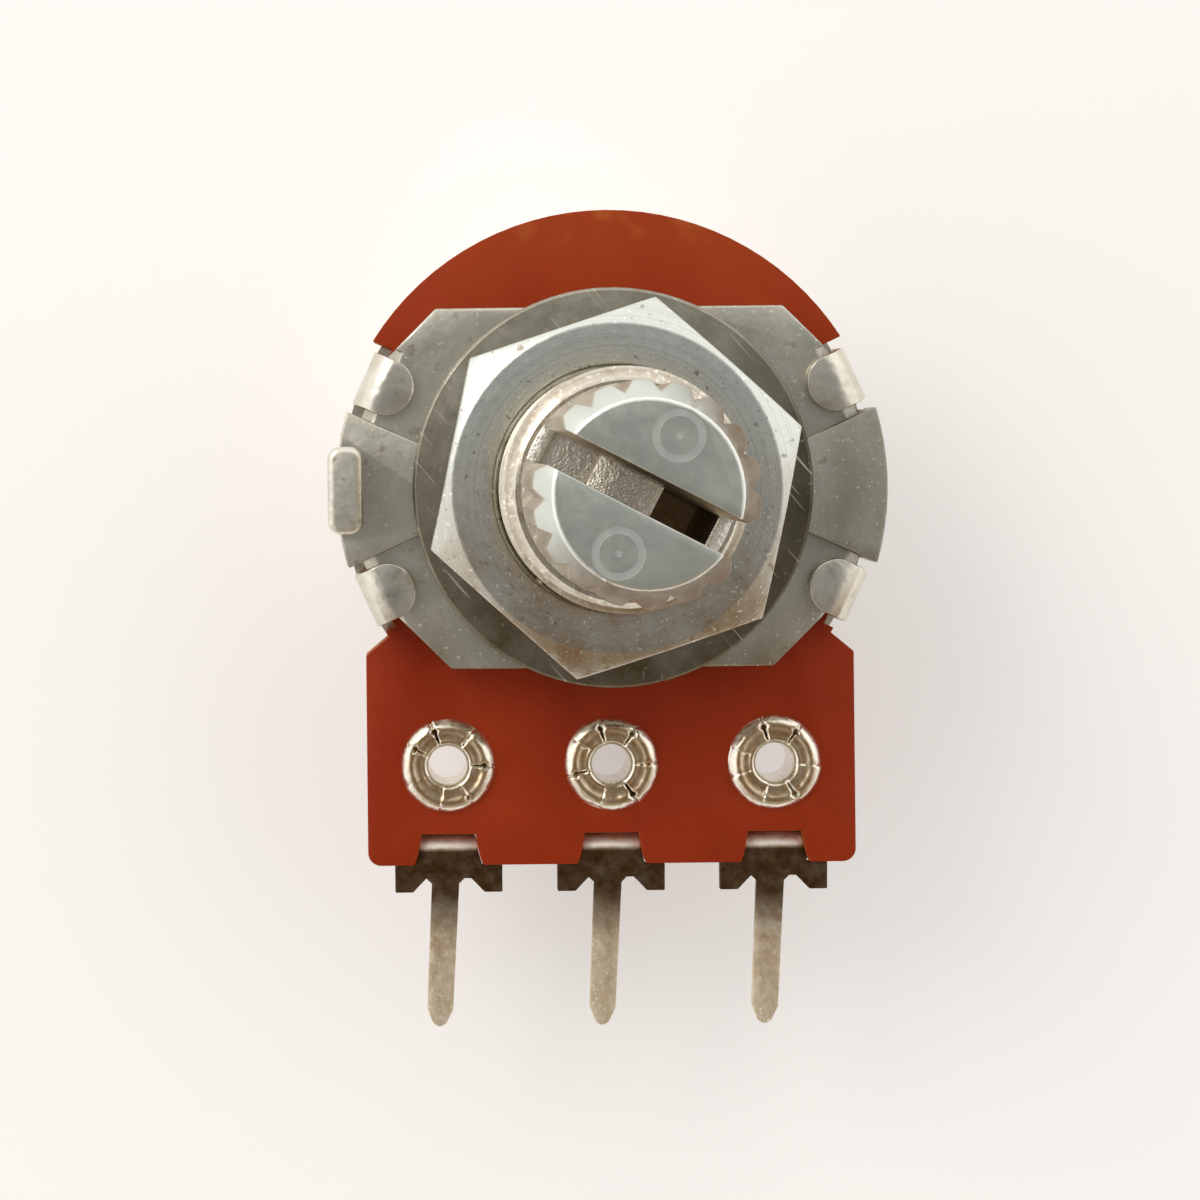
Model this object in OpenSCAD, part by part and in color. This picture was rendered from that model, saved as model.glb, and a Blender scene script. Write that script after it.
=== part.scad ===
// Rotary potentiometer with a centre detent: 16 mm size, split serrated shaft, three pins in a row.
// Origin: the shaft's axis at the mounting face. +Z runs out along the shaft, -Y points to the pins
// and -X to the locating key. The part lies on the back of its cover. Sizes are in millimetres.

/* [Front housing] */
// Thickness of the cast front plate
plate_t = 1.9; // [1.7:0.1:2.4]
// Half the distance between the plate's two flat edges
plate_half_h = 5.45; // [5.2:0.05:5.8]
// Distance from the axis to the plate's two upper corner bevels
upper_bevel_d = 7.57; // [7.3:0.01:7.8]
// Distance from the axis to the plate's two lower corner bevels
lower_bevel_d = 7.31; // [7.1:0.01:7.6]
// How far the plate's two ears reach past the cover's side
ear_step = 0.1; // [0:0.05:0.5]
// How far the recesses under the folded tabs lie below the mounting face
pocket_depth = 0.6; // [0.45:0.05:0.9]
// How far the seat's raised disc stays inside the washer's rim
seat_inset = 0.1; // [0:0.05:0.4]

/* [Locating key] */
// How far the middle of the key lies inside the ears' rim
key_inset = 0.3; // [0.1:0.05:0.6]
// Width of the key, along the radius
key_w = 1.05; // [0.8:0.05:1.4]
// Length of the key, across the radius
key_len = 2.6; // [2:0.1:3.2]
// Height of the key above the mounting face
key_h = 1.5; // [0.8:0.1:2.2]
// Radius of the key's corners, seen from the front
key_corner = 0.38; // [0.2:0.02:0.45]
// Rounding of the key's top edge
key_round = 0.2; // [0.1:0.05:0.3]

/* [Bushing] */
// Outer diameter of the bushing's thread
thread_d = 7; // [6.6:0.1:8]
// Pitch of the thread
thread_pitch = 0.75; // [0.5:0.05:0.8]
// Length of the bushing above the mounting face
bush_len = 7; // [5.5:0.5:9]
// Chamfer on the bushing's front end
bush_chamfer = 0.35; // [0.2:0.05:0.4]

/* [Shaft] */
// Diameter of the shaft's head, which takes the knob
shaft_d = 6; // [5.8:0.05:6.35]
// Distance from the mounting face to the shaft's tip
shaft_tip = 15; // [14.5:0.5:20]
// Diameter of the journal that turns in the bushing
journal_d = 5.4; // [5.2:0.05:5.5]
// Chamfer on the shaft's tip
tip_chamfer = 0.55; // [0.2:0.05:0.8]
// Radial and end clearance of the turning shaft
run_clear = 0.05; // [0.03:0.01:0.08]
// Diameter over the serrations, a little under the plain neck
serration_d = 5.95; // [5.8:0.01:6]
// Number of serrations round the head
serration_count = 18; // [12:1:24]
// Depth of a serration
serration_depth = 0.3; // [0.15:0.05:0.4]
// Width of a serration at the shaft's surface
serration_w = 0.6; // [0.3:0.05:0.7]
// Length of the serrations, back from the tip
serration_len = 7.3; // [4:0.1:7.5]

/* [Slot] */
// Width of the slot across the head
slot_w = 1; // [0.8:0.05:1.3]
// Depth of the slot below the tip
slot_depth = 7.5; // [5:0.1:7.6]
// Direction of the slot, counter-clockwise from +X
slot_angle = -27.7; // [-90:0.1:90]
// Where the deep pit in the slot's floor starts, measured from the axis
pit_start = 0.85; // [0.6:0.05:1.1]
// Where the outer walls of the pit and the step start, measured from the axis
pit_reach = 2.56; // [2.4:0.02:2.6]
// Depth of the pit below the slot's floor
pit_depth = 3.4; // [1:0.1:4]
// How far the pit's outer wall leans in by the pit's bottom
pit_draft = 0.35; // [0.3:0.05:0.6]
// Where the floor steps down on the side away from the pit, measured from the axis
step_start = 1.14; // [0.8:0.02:1.4]
// Depth of that step
step_depth = 0.3; // [0.1:0.05:0.4]
// Distance from the axis to the moulding mark on each half of the tip
mark_x = 1.7; // [1.5:0.05:1.9]
// Radius of the middle of a mark's ring
mark_r = 0.6; // [0.4:0.05:0.7]
// Width of a mark's ring
mark_w = 0.2; // [0.1:0.05:0.3]
// Depth of a mark
mark_depth = 0.06; // [0.03:0.01:0.1]

/* [Nut and washer] */
// Width of the nut across its flats
nut_af = 10; // [9.5:0.1:11]
// Thickness of the nut
nut_t = 2; // [1.5:0.1:2.5]
// Diameter of the flat on the nut's face, inside the corner chamfers
nut_face_d = 9.7; // [9.2:0.1:9.7]
// Direction of one of the nut's corners
nut_angle = 17.8; // [0:0.1:60]
// Outer diameter of the washer
washer_d = 12; // [11.6:0.1:12.4]
// Thickness of the washer
washer_t = 0.5; // [0.3:0.05:0.8]
// Clearance round the thread in the washer's hole
washer_clear = 0.1; // [0.05:0.05:0.3]

/* [Board] */
// Thickness of the phenolic board
board_t = 1.5; // [1:0.1:1.8]
// Radius of the board's round top
board_r = 8.48; // [8.3:0.02:8.9]
// Half the width of the board beside the pins
board_half_w = 7.47; // [7.2:0.01:8]
// Distance from the shaft's axis to the board's lower edge
board_drop = 11.55; // [11.3:0.05:12]
// Height of the notch over each terminal
notch_h = 0.95; // [0.9:0.05:1.2]
// Width of a notch at its top
notch_w = 1.65; // [1.6:0.05:1.9]
// How much wider a notch is at the board's edge
notch_flare = 0.45; // [0.2:0.05:0.8]
// Radius of the board's lower corners
board_corner = 0.4; // [0.2:0.05:0.8]

/* [Terminals] */
// Spacing of the three terminals
pitch = 5; // [4.8:0.02:5.2]
// Distance from the shaft's axis to the row of eyelets
eyelet_y = 8.48; // [8.4:0.02:8.8]
// Thickness of the terminals' sheet
terminal_t = 0.4; // [0.3:0.05:0.45]
// Radius of the round head under the eyelet
head_r = 1.55; // [1.4:0.05:1.6]
// Gap between a terminal's neck and the notch's side
neck_gap = 0.08; // [0.05:0.01:0.15]
// Height of the bend in the notch above the pin's middle
crest_h = 0.45; // [0.3:0.05:0.5]
// Width over a terminal's two feet
shoulder_w = 3.3; // [2.8:0.1:3.8]
// Width of a foot
foot_w = 0.55; // [0.4:0.05:0.7]
// Height of the shoulder and its feet
shoulder_h = 0.85; // [0.7:0.05:1.1]
// Width of a pin
pin_w = 0.8; // [0.6:0.05:1]
// Distance from the shaft's axis to the pins' tips
pin_drop = 16.6; // [15:0.1:18]
// How far the pins lean towards the key's side
pin_lean = 3; // [0:0.5:4]
// How far the pins' roots stand off the terminals' middles
pin_offset = 0.1; // [0:0.02:0.2]

/* [Eyelets] */
// Outer diameter of the eyelet's barrel
barrel_d = 1.9; // [1.7:0.05:2]
// Diameter of the hole through an eyelet
eyelet_hole_d = 1.2; // [0.9:0.05:1.3]
// Diameter over the rolled front rim
rim_d = 2.96; // [2.6:0.02:3.1]
// Height of the rolled rim above the board
rim_h = 0.38; // [0.25:0.01:0.45]
// Number of splits in the rolled rim
split_count = 8; // [5:1:10]
// Width of a split
split_w = 0.2; // [0.1:0.02:0.3]
// Depth of a split
split_depth = 0.14; // [0.06:0.02:0.2]

/* [Rear cover] */
// Outer radius of the cover
cover_r = 8.2; // [8.15:0.05:8.4]
// Depth of the cover, from the board to its back
cover_depth = 5.3; // [5.1:0.1:7]
// Thickness of the cover's sheet
sheet_t = 0.4; // [0.3:0.05:0.5]
// Outer bend radius between the cover's wall and back
cover_bend = 0.8; // [0.6:0.05:1.2]
// Distance from the axis to the flat side over the terminals
cover_flat = 6.6; // [6.4:0.05:6.65]
// Gap that the flat side leaves over the printed leads
lead_gap = 0.6; // [0.3:0.05:1]
// Angle between each folded tab and the X axis
tab_angle = 24.5; // [22:0.5:27]
// Width of a folded tab
tab_w = 1.7; // [1.4:0.1:2]
// Outer bend radius of a folded tab
tab_bend = 0.8; // [0.6:0.05:0.9]
// How far a folded tab reaches in from the cover's side
tab_len = 1.6; // [1.4:0.05:1.8]
// Gap beside each tab in the plate and the board
tab_gap = 0.3; // [0.1:0.05:0.4]

/* [Rotor and stop] */
// Radius of the rotor's disc
rotor_r = 5.2; // [4.9:0.05:5.2]
// Thickness of the rotor's disc
rotor_t = 1.8; // [1.5:0.1:2]
// Radius of the boss that reaches through the board
boss_r = 3.3; // [3:0.05:3.4]
// Radius over the rotor's stop lug
lug_r = 6; // [5.8:0.05:6]
// Half the angle of the stop lug
lug_half = 12; // [8:1:14]
// Turn to each side of the detent
half_travel = 150; // [130:1:155]
// Angle left between lug and stop at each end of the turn
stop_clear = 0.8; // [0.3:0.1:2]

/* [Tracks and wiper] */
// Thickness of the printed films
film_t = 0.05; // [0.03:0.01:0.08]
// Middle radius of the collector ring
collector_r = 4.2; // [4.15:0.05:4.3]
// Width of the collector ring
collector_w = 0.5; // [0.4:0.05:0.6]
// Middle radius of the resistive track
track_r = 5.25; // [5.2:0.05:5.3]
// Width of the resistive track
track_w = 0.7; // [0.5:0.05:0.8]
// Width of a printed lead
lead_w = 0.8; // [0.5:0.1:1]
// Room between the films and the rotor
wiper_room = 1.15; // [1:0.05:1.3]
// Thickness of the wiper's sheet
wiper_t = 0.15; // [0.1:0.01:0.2]
// Width of a wiper finger
finger_w = 0.2; // [0.15:0.01:0.24]

/* [Retaining ring] */
// Outer radius of the retaining ring
clip_r = 3.3; // [3.1:0.05:3.4]
// Thickness of the retaining ring
clip_t = 0.4; // [0.3:0.05:0.5]
// Depth of the ring's groove in the shaft
groove_depth = 0.5; // [0.3:0.05:0.6]
// Opening of the ring
clip_opening = 60; // [40:5:90]

/* [Detent spring] */
// Thickness of the detent spring's sheet
spring_t = 0.2; // [0.15:0.01:0.25]
// Width of the bowed leaf
leaf_w = 1.4; // [1:0.1:1.6]
// Distance from the axis to the middle of the leaf
leaf_y = 3.9; // [3.7:0.05:4.1]
// Depth of the rotor's detent notch
detent_depth = 0.3; // [0.2:0.05:0.4]

/* [Hidden] */
$fn = 64;

fit = 0.03;                // clearance of a piece that is held still in another
over = 1;                  // how far a cutting shape runs past what it cuts
merge = 0.2;               // how deep two shapes of one piece sink into each other
zinc = "#8f9088";
steel = "#a8a49a";
tinned = "#c9bea6";
phenolic = "#8f3818";

thread_r = thread_d / 2;
thread_mid_r = thread_r - 0.325 * thread_pitch;
thread_root_r = thread_r - 5 / 16 * thread_pitch / tan(30);
thread_crest = thread_pitch / 8;
thread_top = bush_len - bush_chamfer;
thread_free = washer_t + nut_t - 0.15;
journal_r = journal_d / 2;
bore_r = journal_r + run_clear;
shaft_r = shaft_d / 2;
serration_r = serration_d / 2;
serration_z = shaft_tip - serration_len;
seat_r = washer_d / 2 - seat_inset;

board_z = -plate_t;
print_z = board_z - board_t;
film_z = print_z - film_t;
rotor_z = film_z - wiper_room;
rotor_back = rotor_z - rotor_t;
cover_back = print_z - cover_depth;
cover_floor = cover_back + sheet_t;
cover_in_r = cover_r - sheet_t;
ear_r = cover_r + ear_step;
key_x = ear_r - key_inset;
tab_seat_r = cover_in_r - run_clear;
tab_notch_w = tab_w + 2 * tab_gap;
tab_out_r = cover_r - 0.02;
tab_bend_x = tab_out_r - tab_bend;
tab_reach = cover_r - tab_len;
cover_flat_in = cover_flat - sheet_t;

clip_front = board_z - run_clear;
groove_back = clip_front - clip_t - fit;
collar_t = 0.4;
collar_back = groove_back - collar_t;
tail_r = 2.2;
tail_flat = 1.6;
stake_r = 2.6;
stake_t = 0.5;
board_hole_r = max(clip_r, boss_r) + 0.3;

stop_r = rotor_r + 0.15;
stop_half = 180 - half_travel - lug_half - stop_clear;
stop_top = rotor_z - 0.1;
track_spare = 2;           // degrees of track past each end of the turn
track_gap_half = 180 - half_travel - track_spare;
pad_r = head_r - 0.2;
peg_r = 0.3;

terminal_z = film_z - terminal_t / 2;
barrel_r = barrel_d / 2;
eyelet_back = film_z - terminal_t;
pin_z = board_z - board_t / 2;
notch_top = -board_drop + notch_h;
notch_half = [notch_w / 2, notch_w / 2 + notch_flare / 4, notch_w / 2 + notch_flare / 2];
notch_knee = notch_h / 3;

// ---------- flat helpers ----------
function unit(v) = v / norm(v);
function turned(v, a) = [v[0] * cos(a) - v[1] * sin(a), v[0] * sin(a) + v[1] * cos(a)];

// Points of the arc of radius r that rounds the corner b between a and c
function bend(a, b, c, r, n = 5) =
    let (u = unit(a - b), v = unit(c - b), half = acos(u * v) / 2,
         middle = b + unit(u + v) * r / sin(half), start = b + u * r / tan(half) - middle,
         sweep = (180 - 2 * half) * sign(cross(u, v)))
    [for (k = [0 : n]) middle + turned(start, -sweep * k / n)];

// A path with every inner corner rounded
function rounded(path, r) =
    [path[0],
     for (i = [1 : len(path) - 2]) each bend(path[i - 1], path[i], path[i + 1], r),
     path[len(path) - 1]];

// One side of a strip of thickness t whose middle follows a path, with mitred corners
function side(path, t) =
    [for (i = [0 : len(path) - 1])
        let (a = path[max(i - 1, 0)], b = path[i], c = path[min(i + 1, len(path) - 1)],
             n1 = turned(i > 0 ? unit(b - a) : unit(c - b), 90) * t / 2,
             n2 = turned(i < len(path) - 1 ? unit(c - b) : unit(b - a), 90) * t / 2,
             m = n1 + n2)
        b + m * (t * t / 2) / (m * m)];

module strip(path, t) {
    near = side(path, t);
    far = side(path, -t);
    polygon(concat(near, [for (i = [len(far) - 1 : -1 : 0]) far[i]]));
}

// A sector of a disc, r in radius and half degrees to each side of the direction dir
module pie(r, half, dir = 90) {
    far = 2 * r;
    rotate(dir) intersection() {
        circle(r);
        polygon([[0, 0], [far * cos(half), -far * sin(half)], [far * cos(half), far * sin(half)]]);
    }
}

module ring(outer, inner) {
    difference() {
        circle(outer);
        circle(inner);
    }
}

module at_tabs() {
    for (a = [tab_angle, 180 - tab_angle, 180 + tab_angle, -tab_angle]) rotate([0, 0, a]) children();
}

module tab_notches() {
    at_tabs() translate([tab_seat_r, -tab_notch_w / 2]) square([over + ear_r, tab_notch_w]);
}

// ---------- front housing ----------
module bevel_limits(dir) {
    rotate(dir) translate([-lower_bevel_d, -2 * ear_r]) square([lower_bevel_d + upper_bevel_d, 4 * ear_r]);
}

module plate_outline() {
    difference() {
        intersection() {
            circle(ear_r);
            square([2 * ear_r + over, 2 * plate_half_h], center = true);
            bevel_limits(45);
            bevel_limits(135);
        }
        tab_notches();
    }
}

// The sector of an ear, between the two tabs on one side
module ear_limits() {
    rotate(tab_angle) translate([0, -tab_notch_w / 2 - 2 * ear_r]) square(2 * ear_r);
}

// Everything but the seat's disc and the two ears
module recesses() {
    difference() {
        square(4 * ear_r, center = true);
        circle(seat_r);
        for (s = [0, 1]) mirror([s, 0]) intersection() {
            ear_limits();
            mirror([0, 1]) ear_limits();
        }
    }
}

// Side view of the free thread, as (radius, z): one crest for each turn, drawn as rings
function thread_side() =
    let (flank = 5 / 16 * thread_pitch, high = thread_top - thread_crest,
         turns = floor((high - thread_free) / thread_pitch))
    [for (k = [turns : -1 : 0])
        let (z = high - k * thread_pitch)
        each [if (k < turns) [thread_root_r, z - flank], [thread_r, z], [thread_r, z + thread_crest],
              if (k > 0) [thread_root_r, z + thread_crest + flank]]];

module bushing_body() {
    thread = thread_side();
    start_z = thread[0][1] - (thread_r - thread_mid_r) * tan(30);
    rotate_extrude() polygon(concat(
        [[0, -merge], [thread_mid_r, -merge], [thread_mid_r, start_z]], thread,
        [[thread_r - bush_chamfer, bush_len], [0, bush_len]]));
}

// The four corners of the key's outline, smaller all round by shrink
module key_corners(shrink) {
    for (x = [-1, 1], y = [-1, 1]) translate([x * (key_w / 2 - key_corner), y * (key_len / 2 - key_corner)])
        circle(key_corner - shrink, $fn = 32);
}

module locating_key() {
    side_h = plate_t + key_h - key_round;
    translate([-key_x, 0, -plate_t]) hull() for (a = [0 : 30 : 90])
        linear_extrude(side_h + key_round * sin(a)) key_corners(key_round * (1 - cos(a)));
}

// Room for the inside of each tab's bend, cut off the plate's edge
module tab_reliefs() {
    bend_in = tab_bend - sheet_t;
    at_tabs() rotate([90, 0, 0]) linear_extrude(tab_notch_w, center = true) polygon([
        [tab_bend_x, over], [tab_bend_x, -pocket_depth], [tab_seat_r, -pocket_depth - bend_in],
        [ear_r, -pocket_depth - bend_in], [ear_r, over]]);
}

module front_housing() {
    color(zinc) difference() {
        union() {
            difference() {
                translate([0, 0, -plate_t]) linear_extrude(plate_t) plate_outline();
                translate([0, 0, -pocket_depth]) linear_extrude(over) recesses();
                tab_reliefs();
            }
            bushing_body();
            locating_key();
        }
        translate([0, 0, -plate_t - over]) cylinder(r = bore_r, h = plate_t + bush_len + 2 * over);
    }
}

// ---------- shaft ----------
module shaft_turning() {
    head_z = bush_len + run_clear;
    rotate_extrude() polygon([
        [0, collar_back], [journal_r, collar_back], [journal_r, groove_back],
        [journal_r - groove_depth, groove_back], [journal_r - groove_depth, clip_front + fit],
        [journal_r, clip_front + fit], [journal_r, head_z], [shaft_r, head_z],
        [shaft_r, serration_z], [serration_r, serration_z], [serration_r, shaft_tip - tip_chamfer],
        [serration_r - tip_chamfer, shaft_tip], [0, shaft_tip]]);
}

module shaft_tail() {
    tail_end = rotor_back - merge;
    translate([0, 0, tail_end]) linear_extrude(collar_back + merge - tail_end) intersection() {
        circle(tail_r);
        square([2 * tail_r, 2 * tail_flat], center = true);
    }
    translate([0, 0, rotor_back - stake_t]) cylinder(r = stake_r, h = stake_t);
}

// The slot's walls run out in two serrations on each side
module serrations() {
    wide = serration_w / 2 * (serration_depth + over) / serration_depth;
    translate([0, 0, serration_z]) linear_extrude(serration_len + over)
        for (i = [0 : serration_count - 1]) rotate((i + 0.5) * 360 / serration_count)
            polygon([[serration_r - serration_depth, 0], [serration_r + over, -wide],
                     [serration_r + over, wide]]);
}

// The slot, with a deep pit on one side of its floor and a shallow step on the other
module slot() {
    floor_z = shaft_tip - slot_depth;
    rotate([90, 0, 0]) linear_extrude(slot_w, center = true) {
        translate([-shaft_d, floor_z]) square([2 * shaft_d, slot_depth + over]);
        polygon([
            [pit_start, floor_z + merge], [pit_start, floor_z - pit_depth],
            [pit_reach - pit_draft, floor_z - pit_depth], [pit_reach, floor_z],
            [pit_reach, floor_z + merge]]);
        translate([-pit_reach, floor_z - step_depth]) square([pit_reach - step_start, step_depth + merge]);
    }
}

module moulding_marks() {
    for (s = [-1, 1]) translate([0, s * mark_x, shaft_tip - mark_depth]) {
        linear_extrude(over) ring(mark_r + mark_w / 2, mark_r - mark_w / 2);
        cylinder(r = mark_w / 2, h = over);
    }
}

module shaft() {
    color(zinc) rotate([0, 0, slot_angle]) difference() {
        union() {
            shaft_turning();
            shaft_tail();
        }
        serrations();
        slot();
        moulding_marks();
    }
}

module retaining_ring() {
    color(steel) translate([0, 0, clip_front - clip_t]) linear_extrude(clip_t) difference() {
        ring(clip_r, journal_r - groove_depth + fit);
        pie(2 * clip_r, clip_opening / 2, 180);
    }
}

// ---------- board and its printed films ----------
module at_terminals() {
    for (i = [-1 : 1]) translate([i * pitch, -eyelet_y]) children();
}

module board_outline() {
    slope_h = 0.75;
    top_y = tab_seat_r * sin(tab_angle) + tab_notch_w / 2;
    side_x = tab_seat_r * cos(tab_angle) - tab_notch_w / 2 * sin(tab_angle);
    shoulder_y = -top_y - slope_h;
    intersection() {
        circle(board_r);
        translate([-board_r, top_y - over]) square([2 * board_r, board_r]);
    }
    circle(cover_r - run_clear);
    difference() {
        polygon([
            [-board_half_w, -board_drop], [board_half_w, -board_drop], [board_half_w, shoulder_y],
            [side_x, -top_y], [-side_x, -top_y], [-board_half_w, shoulder_y]]);
        for (s = [0, 1]) mirror([s, 0]) translate([board_half_w - board_corner, -board_drop + board_corner])
            difference() {
                translate([0, -board_corner - over]) square(board_corner + over);
                circle(board_corner);
            }
    }
}

module notch() {
    edge = [[notch_half[0], notch_h], [notch_half[1], notch_knee], [notch_half[2], 0],
            [notch_half[2], -over]];
    polygon(concat(edge, [for (i = [len(edge) - 1 : -1 : 0]) [-edge[i][0], edge[i][1]]]));
}

module board() {
    color(phenolic) translate([0, 0, print_z]) linear_extrude(board_t) difference() {
        board_outline();
        tab_notches();
        circle(board_hole_r);
        at_terminals() circle(barrel_r + fit);
        for (i = [-1 : 1]) translate([i * pitch, -board_drop]) notch();
    }
}

module track_shape() {
    difference() {
        ring(track_r + track_w / 2, track_r - track_w / 2);
        pie(2 * track_r, track_gap_half, -90);
    }
}

module film() {
    translate([0, 0, film_z]) linear_extrude(film_t) children();
}

module resistive_track() {
    color("#1d1c1b") film() track_shape();
}

module collector_ring() {
    color("#b5b2aa") film() difference() {
        union() {
            ring(collector_r + collector_w / 2, collector_r - collector_w / 2);
            translate([-lead_w / 2, -eyelet_y]) square([lead_w, eyelet_y - collector_r]);
            translate([0, -eyelet_y]) circle(pad_r);
        }
        translate([0, -eyelet_y]) circle(barrel_r + fit);
    }
}

module end_lead(s) {
    end = track_r * [sin(track_gap_half), -cos(track_gap_half)];
    pad = [pitch, -eyelet_y];
    out = turned(unit(pad - end), 90) * lead_w / 2;
    color("#b5b2aa") mirror([s, 0, 0]) film() difference() {
        union() {
            polygon([end - out, pad - out, pad + out, end + out]);
            translate(pad) circle(pad_r);
        }
        track_shape();
        translate(pad) circle(barrel_r + fit);
    }
}

module lead_left() {
    end_lead(1);
}

module lead_right() {
    end_lead(0);
}

// ---------- terminals and eyelets ----------
// Side view of a terminal, as (y, z): flat under the board, up through the notch, then down to the pin
module terminal_side() {
    bend_r = terminal_t / 2 + 0.12;
    rise_y = notch_top - run_clear - terminal_t / 2;
    strip(rounded([
        [-eyelet_y + head_r + over, terminal_z], [rise_y, terminal_z], [rise_y, pin_z + crest_h],
        [-board_drop - 0.3 * shoulder_h, pin_z], [-pin_drop - over, pin_z]], bend_r), terminal_t);
}

// The pin's outline from its root down to its point and up again, leaning towards the key's side
function pin_points(root) =
    let (long = pin_drop + root, point = 0.7 * pin_w, blunt = 0.1)
    [for (p = [[pin_w / 2, -long + point], [pin_w / 4, -long + blunt], [0, -long],
               [-pin_w / 4, -long + blunt], [-pin_w / 2, -long + point]])
        turned(p, -pin_lean) + [-pin_offset, root]];

// One edge of the neck, the shoulder, the foot and the arch beside the pin; s is its side
function shoulder_points(s) =
    let (top = -board_drop - run_clear, arch = top - shoulder_h / 2, foot = top - shoulder_h,
         arch_round = 0.16, in_x = pin_w / 2 + s * -pin_offset + 0.02,
         foot_x = shoulder_w / 2 - foot_w, out_x = foot_x - 0.25)
    [for (p = [[notch_half[0] - neck_gap, notch_top + merge],
               [notch_half[1] - neck_gap, -board_drop + notch_knee], [notch_half[2] - neck_gap, top],
               [shoulder_w / 2, top], [shoulder_w / 2, foot], [foot_x, foot],
               [out_x, arch - arch_round], [out_x - arch_round, arch],
               [in_x + arch_round, arch], [in_x, arch - arch_round]])
        [s * p[0], p[1]]];

module terminal_shape() {
    right = shoulder_points(1);
    left = shoulder_points(-1);
    root = right[len(right) - 1][1];
    polygon(concat(right, pin_points(root), [for (i = [len(left) - 1 : -1 : 0]) left[i]]));
}

// A terminal stands at the middle of its own width; i counts from the middle one
module terminal(i) {
    tail_w = notch_w + 0.6;
    color(tinned) translate([i * pitch, 0, 0]) difference() {
        union() {
            intersection() {
                rotate([90, 0, 90]) linear_extrude(2 * shoulder_w, center = true) terminal_side();
                translate([0, 0, cover_back]) linear_extrude(-cover_back) terminal_shape();
            }
            translate([0, -eyelet_y, eyelet_back]) cylinder(r = head_r, h = terminal_t);
            translate([-tail_w / 2, notch_top + merge / 2, eyelet_back])
                cube([tail_w, -eyelet_y - notch_top, terminal_t]);
        }
        translate([0, -eyelet_y, cover_back]) cylinder(r = barrel_r + fit, h = -cover_back);
    }
}

module terminal_left() {
    terminal(-1);
}

module terminal_middle() {
    terminal(0);
}

module terminal_right() {
    terminal(1);
}

// The barrel, its rolled front rim with radial splits, and its rear flange
module eyelet(i) {
    hole_r = eyelet_hole_d / 2;
    flange_t = 0.25;
    flange_z = eyelet_back - flange_t;
    rim_r = rim_d / 2;
    roll = (rim_r - hole_r) / 2;
    turn = 0.3 * i;        // part of a split's spacing, so that no two eyelets are alike
    color(tinned) translate([i * pitch, -eyelet_y, 0]) difference() {
        union() {
            translate([0, 0, flange_z]) cylinder(r = pad_r, h = flange_t);
            translate([0, 0, flange_z]) cylinder(r = barrel_r, h = board_z - flange_z + merge / 2);
            translate([0, 0, board_z]) rotate_extrude() intersection() {
                translate([hole_r + roll, rim_h - roll]) circle(roll);
                square([rim_r, rim_h]);
            }
        }
        translate([0, 0, eyelet_back - over]) cylinder(r = hole_r, h = -eyelet_back + 2 * over);
        for (k = [0 : split_count - 1]) rotate([0, 0, (k + turn) * 360 / split_count])
            translate([hole_r + roll / 2, 0, board_z + rim_h]) rotate([90, 0, 90]) linear_extrude(2 * roll)
                polygon([[-split_w / 2, merge], [0, -split_depth], [split_w / 2, merge]]);
    }
}

module eyelet_left() {
    eyelet(-1);
}

module eyelet_middle() {
    eyelet(0);
}

module eyelet_right() {
    eyelet(1);
}

// ---------- rear cover ----------
// A round cup with one flat side, smaller all round by inset
module cup(inset) {
    r = cover_r - inset;
    flat = cover_flat - inset;
    low = cover_back + inset;
    round_r = max(cover_bend - inset, 0.1);
    intersection() {
        rotate_extrude() cup_section(r, low, round_r);
        rotate([90, 0, 90]) linear_extrude(4 * cover_r, center = true) {
            translate([-flat + round_r, low]) square([flat + 2 * cover_r, print_z + over - low]);
            translate([-flat, low + round_r]) square([flat, print_z + over - low - round_r]);
            translate([-flat + round_r, low + round_r]) circle(round_r);
        }
    }
}

module cup_section(r, low, round_r) {
    square_h = print_z + over - low;
    translate([0, low]) square([r - round_r, square_h]);
    translate([0, low + round_r]) square([r, square_h - round_r]);
    translate([r - round_r, low + round_r]) circle(round_r);
}

// Side view of a folded tab, as (distance from the axis, z)
module tab_side() {
    top = -pocket_depth + sheet_t;
    mid = [tab_bend_x, top - tab_bend];
    translate([tab_out_r - sheet_t, print_z - merge]) square([sheet_t, mid[1] - print_z + merge]);
    translate([tab_reach, top - sheet_t]) square([mid[0] - tab_reach, sheet_t]);
    translate(mid) intersection() {
        ring(tab_bend, tab_bend - sheet_t);
        square(tab_bend);
    }
}

// A tab seen from the front, with its rounded end
module tab_plan() {
    end_r = tab_w / 2 + fit;
    translate([tab_reach + end_r, 0]) circle(end_r);
    translate([tab_reach + end_r, -tab_w]) square([cover_r, 2 * tab_w]);
}

module tab() {
    low = print_z - over;
    intersection() {
        rotate([90, 0, 0]) linear_extrude(tab_w, center = true) tab_side();
        translate([0, 0, low]) linear_extrude(over - low) tab_plan();
    }
}

// The pressed-in stop: a sheet-thick wall round a hollow that is open to the outside
module stop_shape(inset) {
    difference() {
        pie(cover_flat, stop_half - inset * 180 / (PI * stop_r), -90);
        circle(stop_r + inset);
    }
}

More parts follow.
